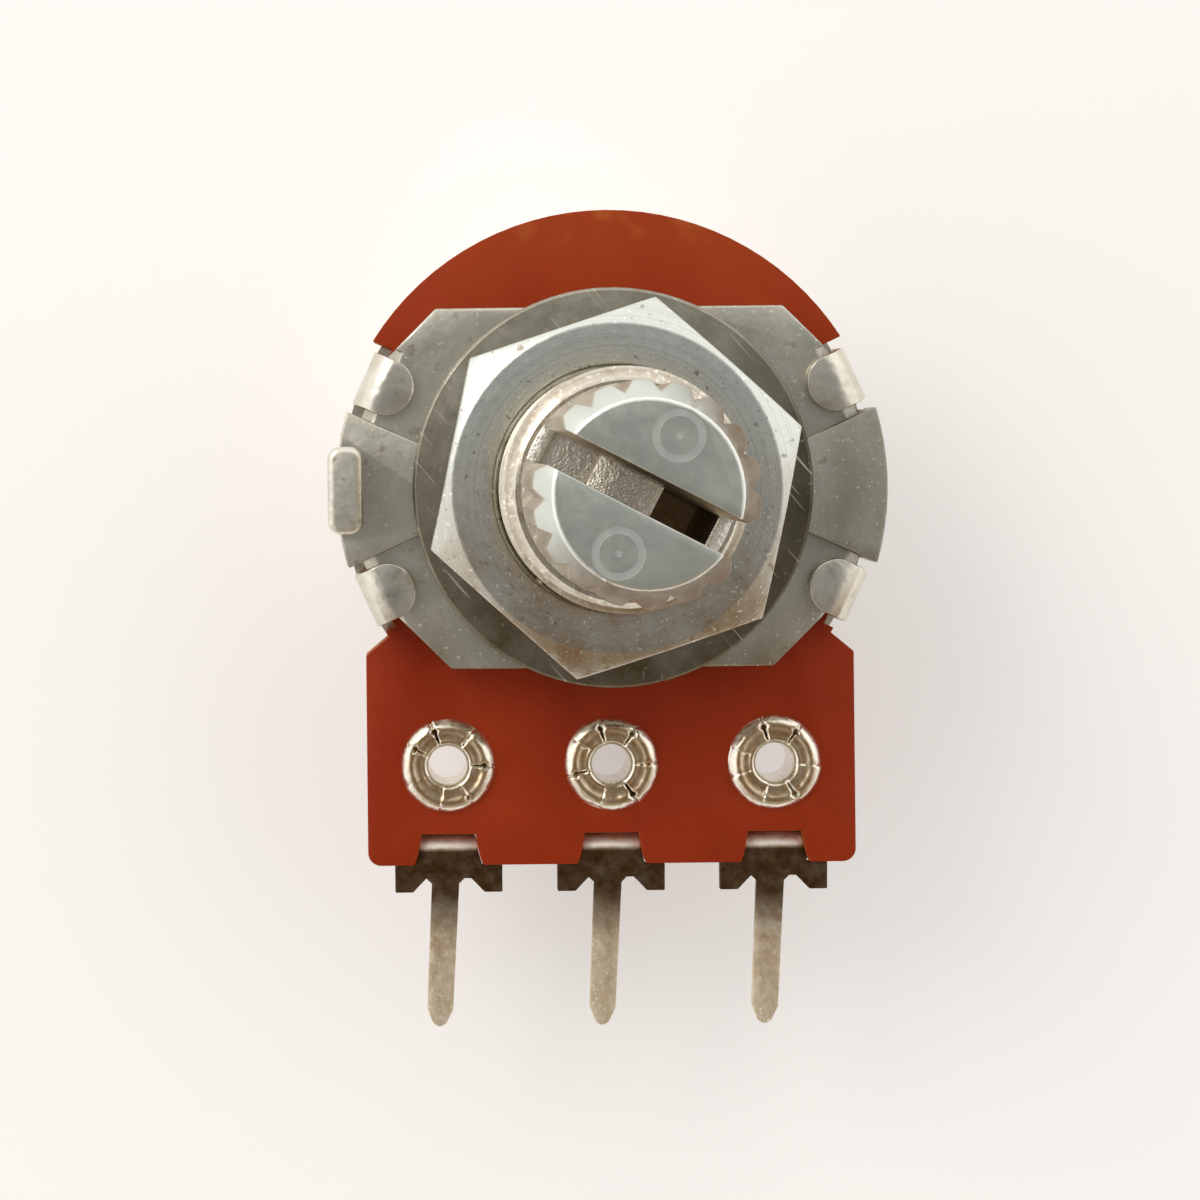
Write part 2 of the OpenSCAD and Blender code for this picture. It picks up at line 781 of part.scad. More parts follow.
module rear_cover() {
    color(steel) difference() {
        union() {
            difference() {
                cup(0);
                cup(sheet_t);
            }
            translate([0, 0, cover_floor - merge]) linear_extrude(stop_top - cover_floor + merge)
                stop_shape(0);
            at_tabs() tab();
        }
        translate([0, 0, cover_floor]) linear_extrude(stop_top - cover_floor - sheet_t)
            stop_shape(sheet_t);
        difference() {
            translate([0, 0, print_z]) cylinder(r = 2 * cover_r, h = over + sheet_t);
            at_tabs() translate([cover_r, 0, 0])
                cube([4 * sheet_t, tab_w + fit, 4 * plate_t + 2 * board_t], center = true);
        }
        translate([-cover_r, -cover_r, print_z - lead_gap])
            cube([2 * cover_r, cover_r - cover_flat_in + merge, lead_gap + over]);
    }
}

// ---------- rotor, wiper and detent ----------
module tail_hole() {
    rotate(slot_angle) intersection() {
        circle(tail_r + fit);
        square([2 * tail_r + over, 2 * (tail_flat + fit)], center = true);
    }
}

module at_pegs() {
    for (s = [-1, 1]) translate([s * (boss_r + rotor_r) / 2, 0, rotor_z - merge]) children();
}

module rotor() {
    ramp = 1.6 * detent_depth;
    color("#3a2a20") difference() {
        union() {
            translate([0, 0, rotor_back]) cylinder(r = rotor_r, h = rotor_t);
            translate([0, 0, rotor_back]) linear_extrude(rotor_t) pie(lug_r, lug_half);
            translate([0, 0, rotor_z - merge]) cylinder(r = boss_r, h = collar_back - rotor_z + merge);
            at_pegs() cylinder(r = peg_r, h = merge + 2 * wiper_t);
        }
        translate([0, 0, rotor_back - over]) linear_extrude(collar_back - rotor_back + 2 * over) tail_hole();
        translate([0, leaf_y, rotor_back]) rotate([90, 0, 0]) linear_extrude(leaf_w + 0.4, center = true)
            polygon([[-ramp, -merge], [-ramp, 0], [0, detent_depth], [ramp, 0], [ramp, -merge]]);
    }
}

// Four sprung fingers, two on the collector ring and two on the resistive track
module wiper() {
    in_r = boss_r + 0.2;
    out_r = rotor_r - 0.2;
    root_x = -1.5;         // where the fingers leave the ring
    web = [0.7, track_r + track_w / 2 - in_r - 0.2];
    low = rotor_z + wiper_t / 2;
    high = film_z - 0.02 - wiper_t / 2;
    tip_half = 0.1;
    ramp_end = -0.25;
    curl = [0.4, high - 0.3];
    color("#c8a24a") {
        difference() {
            translate([0, 0, rotor_z]) linear_extrude(wiper_t) {
                ring(out_r, in_r);
                translate([root_x - web[0] + merge / 2, in_r + merge / 2]) square(web);
            }
            at_pegs() cylinder(r = peg_r + fit, h = over);
        }
        for (y = [collector_r - 0.13, collector_r + 0.13, track_r - 0.16, track_r + 0.16])
            translate([0, y, 0]) rotate([90, 0, 0]) linear_extrude(finger_w, center = true)
                strip([[root_x - merge, low], [root_x, low], [ramp_end, high - tip_half / 2],
                       [-tip_half, high], [tip_half, high], curl], wiper_t);
    }
}

// A flat plate that the cup's flat side keeps from turning, and a bowed leaf across its window
module detent_spring() {
    plate_r = cover_r - sheet_t - cover_bend / 2;
    window_r = rotor_r + 0.4;
    edge_y = fit - stop_r * cos(stop_half);
    low = cover_floor + spring_t / 2;
    high = rotor_back + detent_depth - spring_t / 2 - 0.12;
    crown = [0.75, high - 0.5];
    foot_x = sqrt(window_r * window_r - leaf_y * leaf_y) - merge;
    color("#b9b4a6") {
        translate([0, 0, cover_floor]) linear_extrude(spring_t) difference() {
            intersection() {
                circle(plate_r);
                translate([-cover_r, edge_y]) square(2 * cover_r);
            }
            intersection() {
                circle(window_r);
                translate([-cover_r, edge_y + over]) square(2 * cover_r);
            }
        }
        translate([0, leaf_y, 0]) rotate([90, 0, 0]) linear_extrude(leaf_w, center = true)
            strip(rounded([[-foot_x - 4 * merge, low], [-foot_x, low], [-crown[0], crown[1]], [0, high],
                           crown, [foot_x, low], [foot_x + 4 * merge, low]], 0.3), spring_t);
    }
}

// ---------- washer and nut ----------
module washer() {
    edge = 0.08;
    in_r = thread_r + washer_clear;
    out_r = washer_d / 2;
    color(steel) rotate_extrude() polygon([
        [in_r, 0], [out_r - edge, 0], [out_r, edge], [out_r, washer_t - edge], [out_r - edge, washer_t],
        [in_r + edge, washer_t], [in_r, washer_t - edge]]);
}

module nut() {
    corner_r = nut_af / 2 / cos(30);
    face_r = nut_face_d / 2;
    drop = (corner_r - face_r) * tan(30);
    bore = thread_mid_r + fit;
    sink = thread_r + 0.15 - bore;
    color(steel) translate([0, 0, washer_t]) intersection() {
        rotate([0, 0, nut_angle]) cylinder(r = corner_r, h = nut_t, $fn = 6);
        rotate_extrude() polygon([
            [bore + sink, 0], [face_r, 0], [corner_r, drop], [corner_r, nut_t - drop], [face_r, nut_t],
            [bore + sink, nut_t], [bore, nut_t - sink], [bore, sink]]);
    }
}

front_housing();
shaft();
retaining_ring();
board();
resistive_track();
collector_ring();
lead_left();
lead_right();
terminal_left();
terminal_middle();
terminal_right();
eyelet_left();
eyelet_middle();
eyelet_right();
rear_cover();
rotor();
wiper();
detent_spring();
washer();
nut();
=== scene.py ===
"""A 16 mm rotary potentiometer with a centre detent, lying on the back of its cover.

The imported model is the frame. Sheet, cast and turned pieces keep its shapes with their edges
rounded, and the thread, the rolled eyelets and all finishes are made here. Sizes and places are in
millimetres, and MM turns them to Blender's metres. The shaft points up and the pins point along -Y.
"""

import math
import random

import bmesh
import bpy
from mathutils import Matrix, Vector


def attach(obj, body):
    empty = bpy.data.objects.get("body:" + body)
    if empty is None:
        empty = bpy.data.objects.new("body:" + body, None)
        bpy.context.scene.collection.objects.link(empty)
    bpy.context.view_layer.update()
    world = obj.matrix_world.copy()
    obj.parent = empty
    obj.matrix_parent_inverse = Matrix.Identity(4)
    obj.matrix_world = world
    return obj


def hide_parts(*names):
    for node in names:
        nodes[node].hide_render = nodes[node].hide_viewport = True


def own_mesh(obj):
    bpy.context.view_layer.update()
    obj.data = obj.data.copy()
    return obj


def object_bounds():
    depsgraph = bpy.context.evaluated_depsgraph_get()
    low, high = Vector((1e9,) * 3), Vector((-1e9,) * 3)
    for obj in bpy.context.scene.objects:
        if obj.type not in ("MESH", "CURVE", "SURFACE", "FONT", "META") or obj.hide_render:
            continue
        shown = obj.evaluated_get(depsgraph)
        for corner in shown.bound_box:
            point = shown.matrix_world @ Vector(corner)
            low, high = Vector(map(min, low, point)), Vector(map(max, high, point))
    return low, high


MM = 0.001
TURN = 2 * math.pi
X, Y, Z = range(3)
MIX_A = 6  # the Mix node's first colour
MIX_B = 7  # the Mix node's second colour

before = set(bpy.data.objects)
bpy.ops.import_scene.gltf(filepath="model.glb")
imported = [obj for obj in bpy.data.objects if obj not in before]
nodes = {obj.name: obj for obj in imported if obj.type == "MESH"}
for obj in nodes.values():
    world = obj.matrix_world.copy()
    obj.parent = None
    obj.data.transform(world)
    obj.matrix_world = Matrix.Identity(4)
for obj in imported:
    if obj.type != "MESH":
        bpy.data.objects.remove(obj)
cad_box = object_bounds()


def reach_of(node, side, axis):
    """How far a node of the frame reaches along an axis, in millimetres. The side is min or max."""
    return round(side(v.co[axis] for v in nodes[node].data.vertices) / MM, 3)


# ---------- sizes and places, in millimetres ----------
# the bushing and its M7 thread, which is cut back to its middle radius nearly as far as the nut reaches
THREAD_R = 3.5
THREAD_PITCH = 0.75
THREAD_DEPTH = 0.541 * THREAD_PITCH
THREAD_CREST = THREAD_PITCH / 8
THREAD_CHAMFER = 0.35
UNDER_NUT_R = THREAD_R - 0.325 * THREAD_PITCH
UNDER_NUT_Z = reach_of("nut", max, Z) - 0.1
BORE_R = 2.75
BORE_EDGE = 0.06
BUSHING_TOP = reach_of("front_housing", max, Z)
PLATE_BACK = reach_of("front_housing", min, Z)

# the shaft: its tip, the marks sunk in it, the floor of its slot and the back of its serrations
SHAFT_TIP = reach_of("shaft", max, Z)
MARK_FLOOR = SHAFT_TIP - 0.06
MARK_REACH = 0.75
MARK_FROM_AXIS = 1.7
SLOT_FLOOR = 7.5
SLOT_ANGLE = math.radians(-27.7)
SERRATION_Z = SHAFT_TIP - 7.3

# the board, the eyelets on its face and the terminals at its straight edge
BOARD_FACE = reach_of("board", max, Z)
BOARD_EDGE = reach_of("board", min, Y)
PIN_PITCH = 5.0
EYELET_Y = -8.48
EYELET_BACK = reach_of("terminal_middle", min, Z)
NOTCH_TOP_Y = BOARD_EDGE + 0.9
NOTCH_MOUTH_Y = BOARD_EDGE - 0.05
BEND_Y = BOARD_EDGE + 0.5
NECK_HALF = 0.7
NECK_SIDE = 0.4
NECK_GROWTH = 0.065
PIN_ROOT_Y = BOARD_EDGE - 0.95
PIN_TIP_Y = -16.6

# the detent spring: its back
SPRING_BACK = reach_of("detent_spring", min, Z)

# meshes: points closer than this are one point, and an edge that turns less than this is flat
DOUBLED = 0.012
FLAT = math.radians(0.5)


# ---------- small helpers ----------
def linear(code):
    """A hex sRGB colour as linear RGBA."""
    parts = [int(code[i : i + 2], 16) / 255 for i in (1, 3, 5)]
    return [c / 12.92 if c <= 0.04045 else ((c + 0.055) / 1.055) ** 2.4 for c in parts] + [1.0]


def per_mm(size):
    """Texture scale, on object coordinates in metres, for a feature of that many millimetres."""
    return 1 / (size * MM)


def add(tree, kind, values=None, links=None, **settings):
    """Adds one shader node with its settings, socket values and incoming links."""
    node = tree.nodes.new("ShaderNode" + kind)
    for name, value in settings.items():
        setattr(node, name, value)
    for socket, value in (values or {}).items():
        node.inputs[socket].default_value = value
    for socket, source in (links or {}).items():
        tree.links.new(source, node.inputs[socket])
    return node


def start_material(name, values):
    """A material with constant values on its shader: (material, tree, shader, object coordinates)."""
    material = bpy.data.materials.new(name)
    material.use_nodes = True
    tree = material.node_tree
    shader = tree.nodes["Principled BSDF"]
    for socket, value in values.items():
        shader.inputs[socket].default_value = value
    return material, tree, shader, add(tree, "TexCoord").outputs["Object"]


def mottle(tree, where, size, low=0.0, high=1.0, detail=4.0, stretch=(1, 1, 1)):
    """Cloudy noise of that size in millimetres, spread between low and high."""
    spot = add(tree, "Mapping", {"Scale": stretch}, {"Vector": where}).outputs[0]
    noise = add(tree, "TexNoise", {"Scale": per_mm(size), "Detail": detail, "Roughness": 0.6},
                {"Vector": spot})
    return add(tree, "MapRange", {"From Min": 0.3, "From Max": 0.7, "To Min": low, "To Max": high},
               {"Value": noise.outputs[0]}).outputs[0]


def scratches(tree, where, angle, width, length, share):
    """Straight scratches at an angle in degrees, 1 on a scratch and 0 off it, sizes in millimetres.

    Real ones are about half as wide, and they are drawn as wide as they need to show.
    """
    spot = add(tree, "Mapping", {"Rotation": (0, 0, math.radians(angle)),
                                 "Scale": (length / width, 1, length / width)},
               {"Vector": where}, vector_type="TEXTURE").outputs[0]
    noise = add(tree, "TexNoise", {"Scale": per_mm(width * 2.5), "Detail": 0.0}, {"Vector": spot})
    return add(tree, "MapRange", {"From Min": 0.8 - share, "From Max": 0.84 - share},
               {"Value": noise.outputs[0]}).outputs[0]


def turned_rings(tree, where, pitch):
    """Rings round the Z axis that a facing tool or a tightened nut leaves, from 0 to 1.

    A tool's real feed is about 0.05 mm, and the rings are drawn as coarse as they need to show.
    """
    flat = add(tree, "VectorMath", {1: (1, 1, 0)}, {0: where}, operation="MULTIPLY").outputs[0]
    radius = add(tree, "VectorMath", links={0: flat}, operation="LENGTH").outputs["Value"]
    noise = add(tree, "TexNoise", {"Scale": per_mm(pitch), "Detail": 2.0}, {"W": radius},
                noise_dimensions="1D")
    return add(tree, "MapRange", {"From Min": 0.35, "From Max": 0.65},
               {"Value": noise.outputs[0]}).outputs[0]


def ramp_along(tree, where, axis, start, end):
    """0 before start and 1 past end, both in millimetres along the axis."""
    place = add(tree, "SeparateXYZ", links={0: where}).outputs[axis]
    return add(tree, "MapRange", {"From Min": start * MM, "From Max": end * MM},
               {"Value": place}).outputs[0]


def facing_up(tree, start, end, low=0.0, high=1.0):
    """Low where the surface leans and high where it faces up, between two heights of its normal."""
    normal = add(tree, "NewGeometry").outputs["Normal"]
    upward = add(tree, "SeparateXYZ", links={0: normal}).outputs[Z]
    return add(tree, "MapRange", {"From Min": start, "From Max": end, "To Min": low, "To Max": high},
               {"Value": upward}).outputs[0]


def times(tree, one, other):
    """Two masks multiplied."""
    return add(tree, "Math", links={0: one, 1: other}, operation="MULTIPLY").outputs[0]


def stain_and_shade(tree, where, axis, start, end, size, least):
    """A cloudy ramp that deepens along an axis from start to end, with clouds of that size: it draws real
    discolouring and painted shade alike.
    """
    return times(tree, ramp_along(tree, where, axis, start, end), mottle(tree, where, size, least, 1.0))


def colour(tree, shader, clouds, low, high, *over):
    """Base colour: clouds between two tones, then each (mask, tone) laid over what came before."""
    tone = add(tree, "Mix", {MIX_A: linear(low), MIX_B: linear(high)}, {0: clouds},
               data_type="RGBA").outputs[2]
    for mask, code in over:
        tone = add(tree, "Mix", {MIX_B: linear(code)}, {0: mask, MIX_A: tone},
                   data_type="RGBA").outputs[2]
    tree.links.new(tone, shader.inputs["Base Color"])


def surface(tree, shader, roughness, *heights):
    """Roughness from an output, and bumps from (height, depth in millimetres) pairs, coarse first."""
    tree.links.new(roughness, shader.inputs["Roughness"])
    below = {}
    for height, depth in heights:
        bump = add(tree, "Bump", {"Distance": depth * MM}, {"Height": height, **below})
        below = {"Normal": bump.outputs[0]}
    tree.links.new(below["Normal"], shader.inputs["Normal"])


# ---------- finishes ----------
def die_cast_zinc():
    """Zinc alloy as it leaves the die: satin grey, with faint flow clouds and bright nicks, darker
    towards the right ear, paler on the key's top, and painted shade browning it towards the pins.
    """
    material, tree, shader, where = start_material("die_cast_zinc", {"Metallic": 1.0})
    colour(tree, shader, mottle(tree, where, 1.8), "#b9b6a8", "#d2d0c4",
           (stain_and_shade(tree, where, X, 5.5, 7.0, 2.0, 0.5), "#9b998d"),
           # painted shade: browner towards the pins, beside the nut and shaft
           (stain_and_shade(tree, where, Y, -3.5, -5.8, 2.0, 0.0), "#8f8169"),
           (stain_and_shade(tree, where, Z, 0.9, 1.4, 0.2, 0.3), "#efebdf"),
           (mottle(tree, where, 0.5, -2.2, 0.7), "#97917f"),
           (mottle(tree, where, 0.14, -5.6, 1.2), "#f2efe4"))
    surface(tree, shader, mottle(tree, where, 0.5, 0.32, 0.44),
            (mottle(tree, where, 1.1), 0.010), (mottle(tree, where, 0.12), 0.0016))
    return material


def cut_thread():
    """The same zinc where the thread and the face were cut: bright, torn in rings, and a little tan."""
    material, tree, shader, where = start_material("cut_thread", {"Metallic": 1.0})
    colour(tree, shader, turned_rings(tree, where, 0.15), "#bcb3a2", "#d8d1c3",
           (mottle(tree, where, 0.5, -0.8, 0.8), "#9d917c"),
           (mottle(tree, where, 0.2, -1.6, 0.9), "#f6f1e4"))
    surface(tree, shader, mottle(tree, where, 0.3, 0.2, 0.34),
            (mottle(tree, where, 0.5), 0.008), (turned_rings(tree, where, 0.1), 0.002))
    return material


def tumbled_zinc():
    """Die cast and tumbled zinc of the shaft: cool grey on its tip, warmer down its sides, and painted
    shade on the right and lower part of the tip's chamfer.

    The slot's floor is painted pale as painted light and is lumpy, and its pit is painted dark as painted
    shade.
    """
    material, tree, shader, where = start_material("tumbled_zinc", {"Metallic": 1.0})
    sunk = times(tree, ramp_along(tree, where, Z, MARK_FLOOR - 0.02, MARK_FLOOR),
                 ramp_along(tree, where, Z, SHAFT_TIP, MARK_FLOOR + 0.02))
    side = facing_up(tree, 0.3, 0.6, low=1.0, high=0.0)
    chamfer = times(tree, facing_up(tree, 0.72, 0.99, low=1.0, high=0.0),
                    ramp_along(tree, where, Z, SHAFT_TIP - 1.2, SHAFT_TIP - 0.6))
    # painted shade: the tip's chamfer darker brown on its right and lower side
    painted_shade_right = times(tree, chamfer, stain_and_shade(tree, where, X, 0.4, 2.2, 0.8, 0.75))
    painted_shade_low = times(tree, chamfer, stain_and_shade(tree, where, Y, -0.8, -2.4, 0.8, 0.75))
    colour(tree, shader, mottle(tree, where, 1.2), "#cdd2ca", "#d8dcd5",
           # painted light: the slot's floor near white; below it, painted shade in the pit
           (ramp_along(tree, where, Z, SLOT_FLOOR + 1.0, SLOT_FLOOR + 0.5), "#fbf8ee"),
           (ramp_along(tree, where, Z, SLOT_FLOOR - 0.5, SLOT_FLOOR - 1.5), "#96805f"),
           (side, "#c4b9a6"), (painted_shade_right, "#7d6b58"), (painted_shade_low, "#7d6b58"), (sunk, "#f1f3ee"))
    surface(tree, shader, mottle(tree, where, 0.4, 0.28, 0.4),
            (mottle(tree, where, 0.6), 0.006), (mottle(tree, where, 0.1), 0.0012),
            (stain_and_shade(tree, where, Z, SLOT_FLOOR + 1.0, SLOT_FLOOR + 0.5, 0.2, 0.0), 0.02))
    return material


def plated_nut():
    """Turned and nickel plated steel: bright, with tool rings, and painted shade browning it towards the
    pins.
    """
    material, tree, shader, where = start_material("plated_nut", {"Metallic": 1.0})
    colour(tree, shader, turned_rings(tree, where, 0.08), "#d2d6cf", "#e0e3dd",
           # painted shade: browner towards the pins, on the side the shaft shades
           (stain_and_shade(tree, where, Y, 2.0, -4.5, 1.0, 0.35), "#a48d70"),
           (mottle(tree, where, 0.25, -3.2, 0.8), "#8b7a62"),
           (mottle(tree, where, 0.12, -4.6, 1.3), "#f8f9f5"))
    surface(tree, shader, mottle(tree, where, 0.3, 0.24, 0.34),
            (turned_rings(tree, where, 0.08), 0.0012), (mottle(tree, where, 0.1), 0.0012))
    return material


def plated_washer():
    """Stamped and zinc plated steel, barrel finished: dull, ringed by the nut, and darker brown towards
    the pins and towards the right.
    """
    material, tree, shader, where = start_material("plated_washer", {"Metallic": 1.0})
    colour(tree, shader, mottle(tree, where, 0.9), "#8f8b7c", "#aeaa9b",
           (stain_and_shade(tree, where, Y, 3.0, -5.0, 1.4, 0.4), "#5f5139"),
           (stain_and_shade(tree, where, X, 3.0, 5.6, 1.8, 0.5), "#514c3a"),
           (mottle(tree, where, 0.25, -3.4, 0.8), "#a8a292"),
           (scratches(tree, where, -50, 0.025, 0.8, 0.05), "#c9c4b5"))
    surface(tree, shader, mottle(tree, where, 0.4, 0.34, 0.48),
            (turned_rings(tree, where, 0.12), 0.0012), (mottle(tree, where, 0.14), 0.002))
    return material


def tinned_sheet():
    """Drawn steel sheet, electro-tinned: bright and a little warm, with soft waves from the drawing."""
    material, tree, shader, where = start_material("tinned_sheet", {"Metallic": 1.0})
    colour(tree, shader, mottle(tree, where, 0.7, detail=2.0), "#d5d0c2", "#e6e1d4",
           (mottle(tree, where, 0.9, -1.2, 0.7), "#a8a292"))
    surface(tree, shader, mottle(tree, where, 0.3, 0.18, 0.3),
            (mottle(tree, where, 0.7, detail=2.0), 0.016), (mottle(tree, where, 0.15), 0.0012))
    return material


def tinned_brass():
    """Stamped brass, hot tinned: dull and flecked on the pin, with a painted highlight on its bend and
    painted shade browning the pin towards the board.
    """
    material, tree, shader, where = start_material("tinned_brass", {"Metallic": 1.0})
    # painted shade: dark brown where the pin meets the board's notch
    painted_root_shade = times(tree, stain_and_shade(tree, where, Y, PIN_ROOT_Y - 1.5, PIN_ROOT_Y, 0.4, 0.85),
                 ramp_along(tree, where, Y, BEND_Y, BEND_Y - 0.12))
    colour(tree, shader, mottle(tree, where, 0.35, stretch=(1, 0.5, 1)), "#d9c8a9", "#f2e8d5",
           (mottle(tree, where, 0.12, -2.0, 1.2), "#fffaf0"),
           # painted shade: browner from the tip up towards the board
           (stain_and_shade(tree, where, Y, PIN_TIP_Y, PIN_ROOT_Y, 0.6, -0.2), "#a98a66"),
           (painted_root_shade, "#4b331b"),
           # painted highlight: near-white over the bend and above it
           (ramp_along(tree, where, Y, BEND_Y - 0.05, BEND_Y + 0.05), "#fffcf4"))
    surface(tree, shader, mottle(tree, where, 0.2, 0.5, 0.72),
            (mottle(tree, where, 0.5), 0.010), (mottle(tree, where, 0.12, stretch=(1, 0.4, 1)), 0.005))
    return material


def eyelet_tin_brown_on_top():
    """Tinned brass, rolled over: near-white tin on the slopes, brown where its top faces straight up."""
    material, tree, shader, where = start_material("eyelet_tin_brown_on_top", {"Metallic": 1.0})
    top = times(tree, facing_up(tree, 0.86, 0.96), mottle(tree, where, 0.3, 0.6, 1.0))
    colour(tree, shader, mottle(tree, where, 0.3), "#f0e8d6", "#faf6ec", (top, "#b08a55"))
    surface(tree, shader, mottle(tree, where, 0.2, 0.18, 0.32),
            (mottle(tree, where, 0.4, detail=1.0), 0.012),
            (mottle(tree, where, 0.15, detail=0.0), 0.0015))
    return material


def split_brass_and_shade():
    """The torn edges in the eyelets' splits: bare brass, painted dark brown as shade in the creases."""
    material, tree, shader, where = start_material("split_brass_and_shade", {"Metallic": 1.0})
    # painted shade: dark brown in the splits' creases, over bare brass
    colour(tree, shader, mottle(tree, where, 0.15), "#5a4424", "#86683c")
    surface(tree, shader, mottle(tree, where, 0.1, 0.4, 0.6), (mottle(tree, where, 0.1), 0.003))
    return material


def phenolic_paper():
    """Punched phenolic paper laminate: red-brown resin, almost without gloss, more orange where cut."""
    material, tree, shader, where = start_material(
        "phenolic_paper", {"IOR": 1.5, "Specular IOR Level": 0.2})
    cut = facing_up(tree, 0.25, 0.75, low=1.0, high=0.0)
    colour(tree, shader, mottle(tree, where, 3.5), "#962b06", "#a5350b",
           (stain_and_shade(tree, where, Y, 2.0, 8.0, 3.0, 0.3), "#9e3b09"),
           (stain_and_shade(tree, where, Y, 7.2, 8.2, 1.0, -1.2), "#ab521a"),
           (cut, "#a5501c"))
    surface(tree, shader, mottle(tree, where, 0.5, 0.5, 0.62),
            (mottle(tree, where, 0.15, stretch=(1, 0.4, 1)), 0.0012))
    return material


def printed_carbon():
    """Screen-printed carbon ink, cured: matt black with a fine grain."""
    material, tree, shader, where = start_material("printed_carbon", {"IOR": 1.5})
    colour(tree, shader, mottle(tree, where, 0.15), "#161514", "#2a2927")
    surface(tree, shader, mottle(tree, where, 0.3, 0.6, 0.75), (mottle(tree, where, 0.1), 0.002))
    return material


def printed_silver():
    """Screen-printed silver ink: soft grey metal with the mesh's grain."""
    material, tree, shader, where = start_material("printed_silver", {"Metallic": 1.0})
    colour(tree, shader, mottle(tree, where, 0.2), "#b5b1a8", "#d2cfc7")
    surface(tree, shader, mottle(tree, where, 0.3, 0.5, 0.65), (mottle(tree, where, 0.12), 0.002))
    return material


def moulded_rotor():
    """Injection moulded PBT: dark brown with a soft moulded sheen."""
    material, tree, shader, where = start_material("moulded_rotor", {"IOR": 1.54})
    colour(tree, shader, mottle(tree, where, 1.5), "#33241b", "#443026")
    surface(tree, shader, mottle(tree, where, 0.3, 0.4, 0.52), (mottle(tree, where, 0.1), 0.001))
    return material


def rolled_strip(name, low, high):
    """Cold rolled spring strip: bright, with fine lines along it. The tones say which metal it is."""
    material, tree, shader, where = start_material(name, {"Metallic": 1.0})
    lines = mottle(tree, where, 0.08, stretch=(0.1, 1, 1))
    colour(tree, shader, lines, low, high)
    surface(tree, shader, mottle(tree, where, 0.3, 0.25, 0.38), (lines, 0.001))
    return material


# ---------- meshes ----------
def make_object(name, shape, finish, smooth_angle=32):
    """A new object from a bmesh, smooth except at edges sharper than the angle."""
    bmesh.ops.recalc_face_normals(shape, faces=shape.faces)
    for face in shape.faces:
        face.smooth = True
    for edge in shape.edges:
        if len(edge.link_faces) == 2:
            edge.smooth = edge.calc_face_angle() < math.radians(smooth_angle)
    mesh = bpy.data.meshes.new(name)
    shape.to_mesh(mesh)
    shape.free()
    mesh.materials.append(finish)
    piece = bpy.data.objects.new(name, mesh)
    bpy.context.scene.collection.objects.link(piece)
    return piece


def join_close(shape, distance):
    """Joins points closer than that many millimetres."""
    bmesh.ops.remove_doubles(shape, verts=shape.verts, dist=distance * MM)


def copy_of(node):
    """The node's mesh as a bmesh, with the doubled points along its hard edges joined."""
    shape = bmesh.new()
    shape.from_mesh(nodes[node].data)
    join_close(shape, DOUBLED)
    return shape


def round_edges(shape, width, sharp, keep=None):
    """Rounds the outer edges sharper than the angle, apart from those that keep() holds back."""
    bmesh.ops.dissolve_limit(shape, angle_limit=FLAT, verts=shape.verts, edges=shape.edges)
    edges = [e for e in shape.edges
             if len(e.link_faces) == 2 and e.is_convex and e.calc_face_angle() > math.radians(sharp)
             and not (keep and keep(e))]
    bmesh.ops.bevel(shape, geom=edges, offset=width * MM, segments=2, profile=0.5,
                    affect="EDGES", clamp_overlap=False, offset_type="OFFSET")


def dress(node, finish, width, body, sharp=30, keep=None):
    """Replaces a CAD node by the same shape with rounded edges and a finish."""
    shape = copy_of(node)
    round_edges(shape, width, sharp, keep)
    piece = make_object(node + "_dressed", shape, finish)
    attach(piece, body)
    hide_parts(node)


def point_at(shape, radius, angle, height, x=0.0, y=0.0):
    """Adds a point at that radius and angle round a vertical axis through x and y."""
    return shape.verts.new(((x + radius * math.cos(angle)) * MM, (y + radius * math.sin(angle)) * MM,
                            height * MM))


def ring_of(shape, radius, height, count, x=0.0, y=0.0):
    """Adds a level ring of points round a vertical axis through x and y."""
    return [point_at(shape, radius, TURN * i / count, height, x, y) for i in range(count)]


def bridge(shape, low, high):
    """Joins two rings of as many points with quads."""
    for i in range(len(low)):
        k = (i + 1) % len(low)
        shape.faces.new((low[i], low[k], high[k], high[i]))


# ---------- housing and cover ----------
def at_bushing(part):
    """True for an edge or a face that belongs to the bushing or its bore."""
    return all(math.hypot(v.co.x, v.co.y) < (THREAD_R + 0.02) * MM for v in part.verts)


def housing_plate(finish):
    """The cast plate with its key, without the bushing, which is a piece of its own."""
    shape = copy_of("front_housing")
    bmesh.ops.delete(shape, geom=[f for f in shape.faces if at_bushing(f)], context="FACES")
    bmesh.ops.bridge_loops(shape, edges=[e for e in shape.edges if len(e.link_faces) == 1])
    shortest = 0.045
    round_edges(shape, width=0.07, sharp=35,
                keep=lambda e: at_bushing(e) or e.calc_length() < shortest * MM)
    return make_object("housing_plate", shape, finish, smooth_angle=38)


def below_board(edge):
    """True for an edge of the cover's cup, which stays as it is: only its tabs are rounded."""
    return min(v.co.z for v in edge.verts) < (BOARD_FACE - 0.3) * MM


def thread_radius(angle, z):
    """Radius of the thread there: flanks at 60 degrees, cut back under the nut and by the end chamfer."""
    phase = (z / THREAD_PITCH - angle / TURN) % 1
    from_crest = abs(phase - 0.5) * THREAD_PITCH - THREAD_CREST / 2
    drop = min(max(from_crest * math.sqrt(3), 0), THREAD_DEPTH)
    chamfer = max(z - BUSHING_TOP + THREAD_CHAMFER, 0)
    radius = min(THREAD_R - drop, THREAD_R - chamfer)
    return min(radius, UNDER_NUT_R) if z < UNDER_NUT_Z else radius


